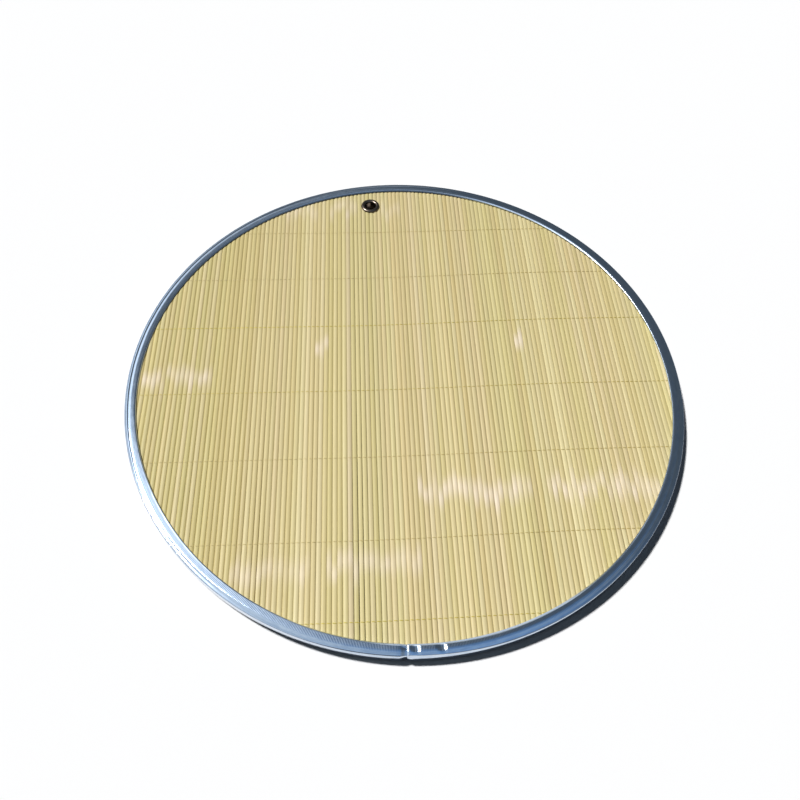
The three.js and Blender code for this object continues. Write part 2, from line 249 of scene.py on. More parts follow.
# The sky from the horizon upwards, by its height on the unit sphere
SKY = ((0.04, (0.34, 0.38, 0.44)), (0.16, (0.085, 0.106, 0.125)))
# Soft glows in it: direction, reach in degrees and colour
GLOWS = (
    ((-0.314, 0.387, 0.867), 26.0, (0.84, 0.93, 1.03)),
    ((-0.27, 0.62, 0.735), 20.0, (0.76, 0.82, 0.88)),
    ((-0.55, -0.15, 0.82), 50.0, (0.72, 0.80, 0.86)),
    ((0.186, -0.043, 0.982), 36.0, (0.02, 0.13, 0.32)),
    ((0.32, -0.32, 0.89), 45.0, (0.17, 0.19, 0.20)),
    ((0.01, 0.90, 0.43), 12.0, (0.47, 0.48, 0.48)),
)
DIFFUSE_SHARE = 0.06
# The floor is white, but throws little light back, so that the shadow stays deep
FLOOR_TONE = 0.98
FLOOR_BOUNCE = 0.1
FLOOR_HALF = 40000.0
FLOOR_DROP = 0.05

# Colours: pale and deep bamboo, what the grain and the joints do to it, thread, rim and eyelet
UPPER_BAMBOO = ((0.74, 0.644, 0.373), (0.658, 0.555, 0.258))
LOWER_BAMBOO = ((0.755, 0.645, 0.37), (0.67, 0.55, 0.265))
BAMBOO_HUES = ((0.985, 1.005, 0.94), (1.02, 0.992, 1.05))
STREAK_TONE = (0.80, 0.78, 0.60)
FIBRE_TONE = (0.94, 0.92, 0.86)
SPECK_COLOR = (0.42, 0.27, 0.12)
JOINT_COLOR = (0.90, 0.77, 0.62)
THREAD_COLORS = ((0.43, 0.32, 0.075), (0.57, 0.44, 0.13))
# Paler thread colours, mixed in towards the left as a painted sheen
SHEEN_THREAD = ((0.67, 0.55, 0.25), (0.86, 0.73, 0.42))
YELLOW_TONE = (0.96, 0.96, 0.25)
RIM_COLORS = ((0.58, 0.66, 0.77), (0.64, 0.71, 0.81))
MOTTLE_TONE = (0.80, 0.84, 0.90)
SCRATCH_COLOR = (0.47, 0.54, 0.64)
# The eyelet's plated metal is darkened and warmed here, a painted dark reflection
EYELET_DARK_REFLECTION_COLOR = (0.18, 0.14, 0.11)
WASHER_COLOR = (0.60, 0.59, 0.58)
WEAR_TONE = 0.82

# Numbers of the two inputs and the output of a mix node that hold colours
MIX_A = 6
MIX_B = 7
MIX_RESULT = 2
# A wave texture of scale 1 turns by so many radians in one unit
WAVE_TURN = 20.0


# Small tools for meshes and node trees

def unit(value):
    """A value kept between zero and one."""
    return min(max(value, 0.0), 1.0)


def smoothstep(value):
    """Goes softly from zero to one as the value does."""
    t = unit(value)
    return t * t * (3.0 - 2.0 * t)


def ramp(value, span):
    """Goes softly from zero at the start of a span to one at its end."""
    start, end = span
    return smoothstep((value - start) / (end - start))


class Builder:
    """Collects vertices, faces and vertex values of one piece."""

    def __init__(self):
        self.verts = []
        self.faces = []
        self.values = {}

    def tube(self, rings, values, closed_ends=True):
        """Skins rings of equal counts; values holds one number or vector a vertex for each name."""
        start = len(self.verts)
        count = len(rings[0])
        for ring in rings:
            self.verts.extend(ring)
        for name, numbers in values.items():
            self.values.setdefault(name, []).extend(numbers)
        for r in range(len(rings) - 1):
            for i in range(count):
                a = start + r * count + i
                b = start + r * count + (i + 1) % count
                self.faces.append((a, b, b + count, a + count))
        if closed_ends:
            last = start + (len(rings) - 1) * count
            self.faces.append(tuple(range(start + count - 1, start - 1, -1)))
            self.faces.append(tuple(range(last, last + count)))

    def piece(self, name, material, sharp=40.0):
        """Makes an object of the mesh. Edges that bend by more than sharp degrees stay hard."""
        mesh = bpy.data.meshes.new(name)
        verts = (np.array(self.verts) * MM).tolist()
        mesh.from_pydata(verts, [], self.faces)
        for key, numbers in self.values.items():
            vector = isinstance(numbers[0], tuple)
            layer = mesh.attributes.new(key, "FLOAT_VECTOR" if vector else "FLOAT", "POINT")
            flat = np.array(numbers, dtype=float).ravel()
            layer.data.foreach_set("vector" if vector else "value", flat)
        mesh.validate()
        mesh.shade_smooth()
        mesh.set_sharp_from_angle(angle=math.radians(sharp))
        mesh.materials.append(material)
        obj = bpy.data.objects.new(name, mesh)
        bpy.context.scene.collection.objects.link(obj)
        return obj


def settle(obj, slot, *nodes):
    """Puts a piece on the mat's one body, in place of its nodes."""
    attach(obj, "root")
    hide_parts(*nodes)


class Nodes:
    """Short names for making shader nodes."""

    def __init__(self, name):
        self.material = bpy.data.materials.new(name)
        self.material.use_nodes = True
        self.tree = self.material.node_tree
        self.shader = self.tree.nodes["Principled BSDF"]

    def new(self, kind, **settings):
        node = self.tree.nodes.new(kind)
        for key, value in settings.items():
            setattr(node, key, value)
        return node

    def feed(self, socket, source):
        if isinstance(source, bpy.types.NodeSocket):
            self.tree.links.new(source, socket)
        else:
            socket.default_value = source

    def attribute(self, name, vector=False):
        node = self.new("ShaderNodeAttribute", attribute_name=name)
        return node.outputs["Vector" if vector else "Fac"]

    def place(self):
        return self.new("ShaderNodeTexCoord").outputs["Object"]

    def axis(self, name):
        """One coordinate of the place."""
        node = self.new("ShaderNodeSeparateXYZ")
        self.feed(node.inputs["Vector"], self.place())
        return node.outputs[name]

    def noise(self, vector, scale, detail=3.0, roughness=0.5):
        """Noise with its own scale along each axis."""
        stretch = self.new("ShaderNodeMapping")
        self.feed(stretch.inputs["Vector"], vector)
        stretch.inputs["Scale"].default_value = scale
        node = self.new("ShaderNodeTexNoise")
        self.feed(node.inputs["Vector"], stretch.outputs["Vector"])
        node.inputs["Scale"].default_value = 1.0
        node.inputs["Detail"].default_value = detail
        node.inputs["Roughness"].default_value = roughness
        return node.outputs["Fac"]

    def math(self, operation, a, b):
        node = self.new("ShaderNodeMath", operation=operation)
        self.feed(node.inputs[0], a)
        self.feed(node.inputs[1], b)
        return node.outputs[0]

    def span(self, value, low, high, to_low=0.0, to_high=1.0):
        """Maps the stretch from low to high to another one."""
        node = self.new("ShaderNodeMapRange")
        self.feed(node.inputs["Value"], value)
        node.inputs["From Min"].default_value = low
        node.inputs["From Max"].default_value = high
        node.inputs["To Min"].default_value = to_low
        node.inputs["To Max"].default_value = to_high
        return node.outputs["Result"]

    def mix(self, factor, a, b, blend="MIX"):
        node = self.new("ShaderNodeMix", data_type="RGBA", blend_type=blend)
        self.feed(node.inputs["Factor"], factor)
        for number, source in ((MIX_A, a), (MIX_B, b)):
            self.feed(node.inputs[number], (*source, 1.0) if isinstance(source, tuple) else source)
        return node.outputs[MIX_RESULT]

    def times(self, color, tone, share=1.0):
        """A colour multiplied by a tone, or by a share of it."""
        return self.mix(share, color, tone, "MULTIPLY")

    def bump(self, height, depth, strength=1.0):
        node = self.new("ShaderNodeBump")
        self.feed(node.inputs["Height"], height)
        node.inputs["Distance"].default_value = depth * MM
        node.inputs["Strength"].default_value = strength
        self.tree.links.new(node.outputs["Normal"], self.shader.inputs["Normal"])

    def set(self, **values):
        """Sets inputs of the shader, with _ for the spaces in their names, and gives the material."""
        for key, value in values.items():
            self.feed(self.shader.inputs[key.replace("_", " ")], value)
        return self.material


# Materials. The scales of noise count its features in a metre, along each axis.

def bamboo(name, along, pale, deep):
    """Pale bamboo with fibres along one axis. Each stick has its own tone and tint, and whitish joints."""
    n = Nodes(name)

    def grain(across, lengthwise, **settings):
        scale = (lengthwise, across, across) if along == "X" else (across, lengthwise, across)
        return n.noise(n.place(), scale, **settings)

    fibres = grain(3200.0, 160.0, detail=4.0, roughness=0.6)
    streaks = grain(1100.0, 13.2)
    specks = grain(900.0, 45.0, detail=2.0)
    color = n.mix(n.attribute("tint"), pale, deep)
    color = n.times(color, n.mix(n.attribute("hue"), *BAMBOO_HUES))
    color = n.mix(n.span(streaks, 0.3, 0.7), color, n.times(color, STREAK_TONE, 0.35))
    color = n.mix(n.span(fibres, 0.35, 0.65, 0.0, 0.5), color, n.times(color, FIBRE_TONE))
    color = n.mix(n.span(specks, 0.72, 0.80, 0.0, 0.35), color, SPECK_COLOR)
    white = n.math("MULTIPLY", n.attribute("joint"), n.span(fibres, 0.3, 0.7, 0.75, 1.0))
    color = n.mix(white, color, JOINT_COLOR)
    # Painted shade: each stick darkens from its near end towards its far end
    end_shade = n.span(n.axis(along), *(place * MM for place in END_SHADE_PLACES), *END_SHADE_TONES)
    tone = n.new("ShaderNodeCombineColor")
    for channel in tone.inputs:
        n.feed(channel, n.math("MULTIPLY", n.attribute("tone"), end_shade))
    color = n.times(color, tone.outputs["Color"])
    n.bump(fibres, 0.05, 0.4)
    roughness = n.span(streaks, 0.2, 0.8, 0.44, 0.56)
    return n.set(Base_Color=color, Roughness=roughness, Specular_IOR_Level=0.25)


def thread_material():
    """Olive thread of twisted fibres, paler towards the left as a painted sheen."""
    n = Nodes("twine")
    strand = n.attribute("strand", vector=True)
    twist = n.new("ShaderNodeTexWave", bands_direction="DIAGONAL")
    scaled = n.new("ShaderNodeMapping")
    n.feed(scaled.inputs["Vector"], strand)
    scaled.inputs["Scale"].default_value = (9000.0, 9000.0, 1.0)
    n.feed(twist.inputs["Vector"], scaled.outputs["Vector"])
    twist.inputs["Scale"].default_value = 0.16
    fuzz = n.noise(strand, (300.0, 2000.0, 1.0))
    color = n.mix(n.span(fuzz, 0.3, 0.7), *THREAD_COLORS)
    # Painted sheen: the thread turns paler towards the left
    sheen_share = n.span(n.axis("X"), *(place * MM for place in SHEEN_SPAN))
    color = n.mix(sheen_share, color, n.mix(fuzz, *SHEEN_THREAD))
    color = n.mix(n.attribute("yellow"), color, n.times(color, YELLOW_TONE))
    n.bump(twist.outputs["Fac"], 0.04, 0.6)
    return n.set(Base_Color=color, Roughness=0.8, Sheen_Weight=0.2)


def rim_material():
    """Bluish sheet metal, mottled, lightly scratched along its length, with forming marks by the lip."""
    n = Nodes("rim_sheet")
    strip = n.attribute("strip", vector=True)
    drawn = n.noise(strip, (30.0, 9000.0, 1.0))
    stains = n.noise(strip, (25.0, 120.0, 1.0))
    mottle = n.noise(strip, (150.0, 500.0, 1.0), detail=4.0, roughness=0.65)
    ripple = n.noise(strip, (120.0, 260.0, 1.0), detail=2.0)
    marks = n.new("ShaderNodeTexWave", bands_direction="X")
    n.feed(marks.inputs["Vector"], strip)
    marks.inputs["Scale"].default_value = 2.0 * math.pi / WAVE_TURN / (KNURL_PITCH * MM)
    marks.inputs["Distortion"].default_value = 0.0
    color = n.mix(n.span(stains, 0.3, 0.7), *RIM_COLORS)
    color = n.mix(n.span(mottle, 0.40, 0.62, 0.0, 0.8), color, n.times(color, MOTTLE_TONE))
    color = n.mix(n.span(drawn, 0.55, 0.75, 0.0, 0.35), color, SCRATCH_COLOR)
    knurl = n.math("MULTIPLY", marks.outputs["Fac"], n.attribute("knurl"))
    height = n.math("ADD", n.math("MULTIPLY", drawn, SCRATCH_SHARE), knurl)
    height = n.math("ADD", height, n.math("MULTIPLY", ripple, RIPPLE_DEPTH / KNURL_DEPTH))
    n.bump(height, KNURL_DEPTH)
    dull = n.math("MULTIPLY", n.attribute("dull"), DULL_ROUGHNESS)
    roughness = n.math("ADD", n.span(mottle, 0.3, 0.7, 0.07, 0.11), dull)
    return n.set(Base_Color=color, Metallic=1.0, Roughness=roughness)


def eyelet_material(name, base, low, high):
    """Plated metal with fine wear, whose roughness goes from low to high."""
    n = Nodes(name)
    wear = n.noise(n.place(), (900.0, 900.0, 900.0), detail=4.0)
    color = n.mix(n.span(wear, 0.35, 0.65), base, tuple(WEAR_TONE * c for c in base))
    n.bump(wear, 0.02, 0.3)
    return n.set(Base_Color=color, Metallic=1.0, Roughness=n.span(wear, 0.3, 0.7, low, high))


# Sticks

class Layer:
    """One layer of sticks. u runs across the sticks and v along them."""

    def __init__(self, label, axis, turned, joint_runs, seed):
        self.label = label
        self.axis = axis
        self.turned = turned
        self.joint_runs = joint_runs
        self.random = random.Random(seed)
        self.taper_random = random.Random(seed + 1)
        self.eyelet = (EYELET_Y, -EYELET_X) if turned else (EYELET_X, EYELET_Y)

    def point(self, u, v, z):
        return (-v, u, z) if self.turned else (u, v, z)

    def across(self, corner):
        return (corner.y if self.turned else corner.x) / MM


def stick_place(i):
    """Place of a stick's axis across the mat."""
    return (i + 0.5 - STICK_COUNT / 2) * STICK_PITCH


def half_length(u):
    """How far the round mat reaches along a line at a place across it."""
    return math.sqrt(max(MAT_RADIUS ** 2 - u ** 2, 0.0))


def draw_stick(layer, i):
    """The character of one stick: its size, tone, tint, hue, sway and joints."""
    rng = layer.random
    u = stick_place(i)
    narrow = NARROW_WIDTH if rng.random() < NARROW_SHARE else 1.0
    hue = sum((size * math.sin(u / length + phase) for size, length, phase in HUE_WAVES), HUE_MEAN)
    tint = TINT_MEAN + LEFT_TINT * ramp(u, LEFT_SPAN)
    stick = {
        "u": u,
        "width": STICK_HALF_WIDTH * narrow * rng.uniform(*WIDTH_SPREAD),
        "height": STICK_HALF_HEIGHT * rng.uniform(*HEIGHT_SPREAD),
        "tone": rng.gauss(1.0, TONE_SPREAD),
        "tint": unit(rng.gauss(tint, TINT_SPREAD)),
        "hue": unit(rng.gauss(hue, HUE_SPREAD)),
        "sway": rng.uniform(-SWAY, SWAY),
        "phase": rng.uniform(0.0, 2.0 * math.pi),
        "trim": rng.uniform(0.0, END_TRIM),
        "taper": STICK_TAPER * layer.taper_random.random() ** TAPER_POWER,
        "joints": [],
    }
    for start, end, along, power in layer.joint_runs:
        place = along + rng.gauss(0.0, JOINT_JITTER)
        half = JOINT_HALF * rng.uniform(*JOINT_HALF_SPREAD)
        share = power * rng.uniform(*JOINT_POWER_SPREAD)
        if start <= u <= end:
            stick["joints"].append((place, half, min(share, 1.0)))
    return stick


def joint_share(stick, v):
    """How much of a whitish joint shows at a place along the stick."""
    share = 0.0
    for place, half, power in stick["joints"]:
        t = abs(v - place) / (JOINT_REACH * half)
        share = max(share, power * (1.0 - smoothstep(t)))
    return share


def stick_stretches(layer, stick):
    """The stretches of a stick along v: one, or two where the eyelet's hole cuts it."""
    reach = half_length(abs(stick["u"]) + stick["width"]) - stick["trim"]
    across, along = layer.eyelet
    offset = abs(stick["u"] - across)
    inner = max(offset - stick["width"], 0.0)
    if inner >= HOLE_RADIUS or offset > HOLE_RADIUS:
        return [(-reach, reach)]
    gap = math.sqrt(HOLE_RADIUS ** 2 - inner ** 2)
    return [(-reach, along - gap), (along + gap, reach)]


def stick_stations(layer, stick, start, end):
    """Places of the rings along a stretch, closer at the joint and beside the eyelet."""
    count = max(int(round((end - start) / STICK_STEP)), 2)
    places = set(np.linspace(start, end, count + 1).tolist())
    across, along = layer.eyelet
    if abs(stick["u"] - across) < HOLE_RADIUS + stick["width"]:
        places.update(along + ring for ring in EYELET_RINGS)
    for centre, half, _ in stick["joints"]:
        places.update(centre + half * ring for ring in JOINT_RINGS)
        places.update(centre + ring for ring in RIDGE_RINGS)
    inside = sorted(p for p in places if start + LEAST_STEP < p < end - LEAST_STEP)
    return [start, *inside, end]


def stick_section(width, height):
    """Offsets across and up from a stick's axis: a crown, rounded edges, sides and the same below."""
    top = []
    for share in CROWN_SHARES:
        x = share * width
        drop = CROWN_RADIUS - math.sqrt(CROWN_RADIUS ** 2 - x ** 2)
        edge = EDGE_DROP if abs(share) == CROWN_SHARES[0] else 0.0
        top.append((x, height - drop - edge))
    return top + [(x, -z) for x, z in reversed(top)]


def stick_ring(layer, stick, v):
    """One ring of a stick, swollen at a joint and kept clear of the eyelet's barrel."""
    swell = 1.0
    for place, _, _ in stick["joints"]:
        swell += JOINT_SWELL * math.exp(-((v - place) / JOINT_RIDGE) ** 2)
    sway = DRIFT * math.sin(v / DRIFT_ALONG + stick["u"] / DRIFT_ACROSS)
    sway += stick["sway"] * math.sin(v / SWAY_ALONG + stick["phase"])
    width = swell * stick["width"] * (1.0 - stick["taper"] * ramp(v, TAPER_SPAN))
    height = min(swell * stick["height"], STICK_HALF_HEIGHT)
    across, along = layer.eyelet
    clear = HOLE_RADIUS ** 2 - (v - along) ** 2
    ring = []
    for x, z in stick_section(width, height):
        u = stick["u"] + sway + x
        if clear > 0.0 and abs(u - across) < math.sqrt(clear):
            u = across + math.copysign(math.sqrt(clear), stick["u"] - across)
        ring.append(layer.point(u, v, layer.axis + z))
    return ring if layer.turned else ring[::-1]


def add_stick(builder, layer, stick):
    for start, end in stick_stretches(layer, stick):
        stations = stick_stations(layer, stick, start, end)
        rings = [stick_ring(layer, stick, v) for v in stations]
        shares = [joint_share(stick, v) for v in stations for _ in rings[0]]
        values = {key: [stick[key]] * len(shares) for key in ("tone", "tint", "hue")}
        builder.tube(rings, {**values, "joint": shares})


def make_sticks(layer, material, slot):
    """Makes a piece of single sticks for each bundle of the layer."""
    sticks = [draw_stick(layer, i) for i in range(STICK_COUNT)]
    for node in sorted(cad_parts):
        if not node.startswith(f"{layer.label}_sticks_"):
            continue
        low, high = (layer.across(corner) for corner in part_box(node))
        builder = Builder()
        for stick in sticks:
            if low < stick["u"] < high:
                add_stick(builder, layer, stick)
        obj = builder.piece(f"{layer.label}_bamboo_{node[-2:]}", material)
        settle(obj, slot, node)


# Threads

def row_place(row, rise, u):
    """Place of a row along the sticks, at a place across them."""
    return row + rise * ramp(u, ROW_BEND)


def strand_path(layer, row, rise, side):
    """One of the two strands of a row: over one stick, under the next, crossing the other in between."""
    path = []
    over = STICK_HALF_HEIGHT + STRAND_RADIUS + STRAND_GAP
    for i in range(STICK_COUNT):
        u0 = stick_place(i)
        if abs(u0) + STICK_PITCH / 2 > half_length(abs(row_place(row, rise, u0)) + ROW_MARGIN):
            continue
        sign = side if i % 2 else -side
        for k in range(STRAND_STEPS):
            t = (k + 0.5) / STRAND_STEPS
            turn = math.pi * t
            lift = math.sin(turn) ** STRAND_LIFT
            u = u0 + STICK_PITCH * (t - 0.5)
            v = row_place(row, rise, u) + STRAND_SWING * sign * math.cos(turn)
            path.append((u, v, layer.axis + sign * over * lift))
    return path


def strand_rings(layer, path):
    """Flattened rings round a strand's path."""
    points = np.array(path)
    along = np.gradient(points, axis=0)
    along /= np.linalg.norm(along, axis=1)[:, None]
    rings = []
    for point, direction in zip(points, along):
        side = np.cross(direction, (0.0, 1.0, 0.0))
        side /= np.linalg.norm(side)
        other = np.cross(direction, side)
        ring = []
        for k in range(STRAND_SIDES):
            angle = 2.0 * math.pi * k / STRAND_SIDES
            p = point + STRAND_RADIUS * (math.cos(angle) * side + STRAND_WIDTH * math.sin(angle) * other)
            ring.append(layer.point(*p))
        rings.append(ring)
    return rings


def make_threads(layer, rows, material):
    for number, (row, rise, yellow) in enumerate(rows, 1):
        builder = Builder()
        for side in (1, -1):
            path = strand_path(layer, row, rise, side)
            rings = strand_rings(layer, path)
            steps = np.linalg.norm(np.diff(np.array(path), axis=0), axis=1)
            lengths = np.concatenate([[0.0], np.cumsum(steps)])
            sides = [k * STRAND_FACE * MM for k in range(STRAND_SIDES)]
            strand = [(length * MM, face, 0.0) for length in lengths for face in sides]
            builder.tube(rings, {"strand": strand, "yellow": [yellow] * len(strand)})
        obj = builder.piece(f"{layer.label}_twine_{number}", material, sharp=80.0)
        settle(obj, "thread", f"{layer.label}_thread_{number}")


# Rim strip

def offset_line(line, distances):
    """Moves each point of a line into the channel by its own distance, with mitred corners."""
    normals = [np.array((1.0, 0.0))]
    for a, b in zip(line, line[1:]):
        d = (b - a) / np.linalg.norm(b - a)
        normals.append(np.array((-d[1], d[0])))
    normals.append(normals[-1])
    moved = []
    for point, before, after, distance in zip(line, normals, normals[1:], distances):
        mitre = (before + after) / (1.0 + before @ after)
        moved.append(point + distance * mitre)
    return moved


def soften(line, rounds=2):
    """Rounds the corners of a line and keeps its ends."""
    for _ in range(rounds):
        cut = [line[0]]
        for a, b in zip(line, line[1:]):
            cut.extend((0.75 * a + 0.25 * b, 0.25 * a + 0.75 * b))
        cut.append(line[-1])
        line = cut
    return line


def within(degrees, start, end, ease):
    """One on a stretch of the rim, falling softly to zero at its ends."""
    along = (degrees - start) % 360.0
    left = (end - start) % 360.0 - along
    return smoothstep(along / ease) * smoothstep(left / ease)


def change_at(degrees, changes):
    """Sum of the changes that reach a place round the rim."""
    return sum(change * within(degrees, *stretch) for *stretch, change in changes)


def flange_line(shoulder=1.0, sloped=0.0):
    """Outer line of a flange from the wall to the lip, by the size of its shoulder and share of the slope."""
    edge = (1.0 - sloped) * np.array(GROOVE) + sloped * np.array(SLOPE)
    run, drop = (shoulder * size for size in SHOULDER_SIZE)
    top = edge[0][1]
    edge[0][0] = SHOULDER_INSET + run
    wall = ((0.0, top + drop + SHOULDER_BEND), (SHOULDER_INSET, top + drop))
    return [np.array(point) for point in (*wall, *edge, *CREST, *LIP)]


def upper_line(degrees, length):
    """Outer line of the upper flange at a place round the rim, with what its maker's hand left there."""
    flare = FLARE * (1.0 - smoothstep(length / FLARE_LENGTH))
    line = flange_line(1.0 + flare + change_at(degrees, SHOULDERS), within(degrees, *SLOPED))
    for *stretch, form in LIPS:
        share = within(degrees, *stretch)
        for point, other in zip(line[-len(LIP):], np.array(form)):
            point += share * (other - point)
    pressed = LIP_DROP * change_at(degrees, PRESSED)
    for point in line[:-1]:
        run = min(max(point[0] - CREST_END, 0.0) / (LIP_START - CREST_END), 1.0)
        point[1] += pressed * run
    return line


def rim_flange(line, tuck, tongue, dent):
    """Outer and inner line of one flange, stepped in by tuck and pressed down by dent."""
    steps = [tuck * LAP_STEP] * len(line)
    if tongue:
        line[-TONGUE_POINTS:] = [np.array((x, 0.0)) for x in np.linspace(*TONGUE_SPAN, TONGUE_POINTS)]
    else:
        steps[-len(LIP):] = [tuck * LIP_TUCK] * len(LIP)
    outer = offset_line(line, steps)
    inner = offset_line(line, [s + SHEET for s in steps])
    for i, share in enumerate(DENT_SHARES):
        outer[i] = outer[i] + np.array((0.0, dent * share))
        inner[i] = inner[i] + np.array((0.0, dent * share))
    return soften(outer), soften(inner)


def rim_section(upper, tuck, tongue, dent):
    """The section as radius and height: the outside from the upper lip to the lower, then back inside."""
    top_outer, top_inner = rim_flange(upper, tuck, tongue, dent)
    low_outer, low_inner = rim_flange(flange_line(), tuck, tongue, 0.0)
    outside = [(RIM_RADIUS - x, RIM_HEIGHT - y) for x, y in top_outer[::-1]]
    outside += [(RIM_RADIUS - x, y) for x, y in low_outer]
    inside = [(RIM_RADIUS - x, y) for x, y in low_inner[::-1]]
    inside += [(RIM_RADIUS - x, RIM_HEIGHT - y) for x, y in top_inner]
    return outside, inside


def dent_at(length):
    """Depth of the pressed dents at a length from the cut edge."""
    depth = 0.0
    for place in DENTS:
        half = DENT_HALVES[length > place]
        t = (abs(length - place) / half - DENT_FLOOR) / (1.0 - DENT_FLOOR)
        if t < 1.0:
            ease = 0.5 * (max(t, 0.0) + smoothstep(t))
            depth = max(depth, DENT_DEPTH * (1.0 - ease))
    return depth


def rim_stations():
    """Length from the cut edge, tuck, tongue and dent of each section, from the outer to the tucked end."""
    turn = 2.0 * math.pi * RIM_RADIUS
    flange_end = turn - LAP_BUTT
    joggle = flange_end - LAP_JOGGLE
    lap = np.arange(0.0, LAP_LENGTH + LAP_REST, LAP_SAMPLE).tolist()
    plain = np.arange(lap[-1] + JOGGLE_SAMPLE, joggle, math.radians(RIM_STEP) * RIM_RADIUS).tolist()
    stepped = np.arange(joggle, flange_end, JOGGLE_SAMPLE).tolist()
    stations = [(s, CUT_TUCK * max(1.0 - s / CUT_TURN, 0.0), False, dent_at(s)) for s in lap + plain]
    stations += [(s, smoothstep((s - joggle) / LAP_JOGGLE), False, 0.0) for s in stepped]
    stations.append((flange_end, 1.0, False, 0.0))
    stations += [(s + turn, 1.0, True, dent_at(s)) for s in lap if s <= LAP_LENGTH]
    return stations


def make_rim(material):
    builder = Builder()
    start = -math.pi / 2 + CUT_EDGE / RIM_RADIUS
    knurl_start, knurl_end = KNURL_BAND
    rings, strip, knurl, dull = [], [], [], []
    for length, tuck, tongue, dent in rim_stations():
        angle = start + length / RIM_RADIUS
        degrees = math.degrees(angle)
        outside, inside = rim_section(upper_line(degrees, length), tuck, tongue, dent)
        section = outside + inside
        rings.append([(r * math.cos(angle), r * math.sin(angle), z) for r, z in section])
        worn = 1.0 + change_at(degrees, (WORN,))
        walked = 0.0
        for i, (r, z) in enumerate(section):
            if i:
                walked += math.hypot(r - section[i - 1][0], z - section[i - 1][1])
            inset = RIM_RADIUS - r
            strip.append((length * MM, walked * MM, 0.0))
            knurl.append(1.0 if i < len(outside) and knurl_start < inset < knurl_end else 0.0)
            dull.append(worn * ramp(inset, DULL_BAND))
    builder.tube(rings, {"strip": strip, "knurl": knurl, "dull": dull}, closed_ends=False)
    close_strip_ends(builder, len(rings), len(outside))
    obj = builder.piece("rim_band", material, sharp=50.0)
    settle(obj, "rim_metal", "rim_strip")


def close_strip_ends(builder, ring_count, half):
    """Closes both ends of the strip with faces across the thickness of the sheet."""
    count = 2 * half
    last = (ring_count - 1) * count
    for i in range(half - 1):
        a, b, c, d = i, i + 1, count - 2 - i, count - 1 - i
        builder.faces.append((a, d, c, b))
        builder.faces.append((last + a, last + b, last + c, last + d))


# Eyelet

def lathe(builder, profile):
    """Turns a closed profile of radius and height about the eyelet's axis."""
    count = len(profile)
    for k in range(EYELET_SIDES):
        angle = 2.0 * math.pi * k / EYELET_SIDES
        for r, z in profile:
            builder.verts.append((EYELET_X + r * math.cos(angle), EYELET_Y + r * math.sin(angle), z))
    for k in range(EYELET_SIDES):
        here = k * count
        beyond = (k + 1) % EYELET_SIDES * count
        for i in range(count):
            j = (i + 1) % count
            builder.faces.append((here + i, beyond + i, beyond + j, here + j))


def rounded(profile, rounds=2):
    """Rounds the corners of a closed profile."""
    for _ in range(rounds):
        cut = []
        for a, b in zip(profile, profile[1:] + profile[:1]):
            cut.append((0.8 * a[0] + 0.2 * b[0], 0.8 * a[1] + 0.2 * b[1]))
            cut.append((0.2 * a[0] + 0.8 * b[0], 0.2 * a[1] + 0.8 * b[1]))
        profile = cut
    return profile


def flange_arc(inset, half_turns):
    """Points over the rolled flange, from its edge inwards, or inset from its surface."""
    edge = FLANGE_RADIUS - inset
    inner = BORE_RADIUS + inset
    rise = FLANGE_CREST - inset - FLANGE_FOOT
    arc = []
    for half_turn in half_turns:
        t = math.pi * half_turn
        r = (edge + inner) / 2 + (edge - inner) / 2 * math.cos(t)
        arc.append((r, FLANGE_FOOT + rise * math.sin(t) ** FLANGE_BULGE))
    return arc


def barrel_profile():
    """The rolled flange, the barrel with its flared end at the back, and the underside of the flange."""
    over = flange_arc(0.0, [k / FLANGE_STEPS for k in range(FLANGE_STEPS + 1)])
    under = flange_arc(EYELET_SHEET, [k / UNDER_STEPS for k in range(UNDER_STEPS - 1, 0, -1)])
    return [*over, *BARREL_LINE, *under]


def make_eyelet():
    shell = Builder()
    lathe(shell, barrel_profile()[::-1])
    # The eyelet's dark base colour is a painted dark reflection
    obj = shell.piece("eyelet_shell", eyelet_material("eyelet_painted_dark_plate", EYELET_DARK_REFLECTION_COLOR, 0.19, 0.26), sharp=60.0)
    settle(obj, "eyelet_metal", "eyelet_barrel")
    ring = Builder()
    lathe(ring, rounded(WASHER_LINE))
    obj = ring.piece("washer_ring", eyelet_material("washer_plate", WASHER_COLOR, 0.22, 0.34), sharp=60.0)
    settle(obj, "eyelet_metal", "eyelet_washer")


# Camera, floor and light

def make_camera():
    """Places the camera so that the centre of the rim's lip falls on its pixel of the photograph."""
    az, el, roll = (math.radians(a) for a in (AZIMUTH, ELEVATION, ROLL))
    back = Vector((math.sin(az) * math.cos(el), -math.cos(az) * math.cos(el), math.sin(el)))
    level = (-back).cross(Vector((0.0, 0.0, 1.0))).normalized()
    upright = level.cross(-back)
    right = level * math.cos(roll) + upright * math.sin(roll)
    up = upright * math.cos(roll) - level * math.sin(roll)
    middle = PHOTO_SIZE / 2
    across, down = ((pixel - middle) / FOCAL_PX * DISTANCE for pixel in CENTRE_PX)
    place = (Vector((0.0, 0.0, LIP_TOP)) + back * DISTANCE - right * across + up * down) * MM
    data = bpy.data.cameras.new("camera")
    data.sensor_width = SENSOR_WIDTH
    data.lens = SENSOR_WIDTH * FOCAL_PX / PHOTO_SIZE
    data.clip_start = NEAREST * MM
    camera = bpy.data.objects.new("camera", data)
    camera.matrix_world = Matrix((
        (right.x, up.x, back.x, place.x),
        (right.y, up.y, back.y, place.y),
        (right.z, up.z, back.z, place.z),
        (0.0, 0.0, 0.0, 1.0),
    ))
    bpy.context.scene.collection.objects.link(camera)
    bpy.context.scene.camera = camera


